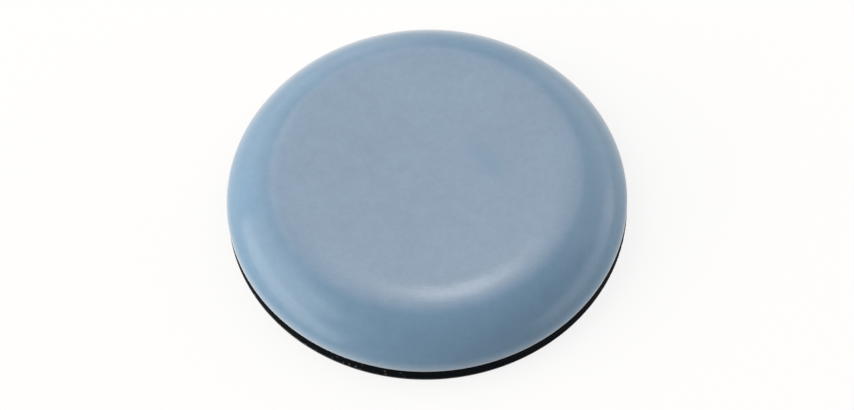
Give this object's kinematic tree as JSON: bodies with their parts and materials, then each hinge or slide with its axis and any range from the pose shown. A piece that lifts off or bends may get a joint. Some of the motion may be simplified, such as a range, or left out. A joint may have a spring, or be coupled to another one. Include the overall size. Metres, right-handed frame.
{
  "type": "furniture glide",
  "caption": "Round self-adhesive furniture glide: a dished low-friction cap bonded over a cellular rubber cushion, with a flat adhesive face below.",
  "frame": {"origin": "centre of the adhesive face, which the glide lies on", "axes": "+Z is the glide's axis of symmetry, from the adhesive face to the sliding face"},
  "size_m": [0.03, 0.03, 0.0045],
  "materials": {
    "ptfe_skin": "blue-grey PTFE sheet, formed, satin",
    "cellular_rubber": "black cellular rubber, die-cut edge, matt",
    "adhesive": "dark acrylic adhesive film, slightly glossy"
  },
  "bodies": {
    "root": {"sliding_cap": "ptfe_skin", "cushion_core": "cellular_rubber", "adhesive_film": "adhesive"}
  },
  "joints": []
}
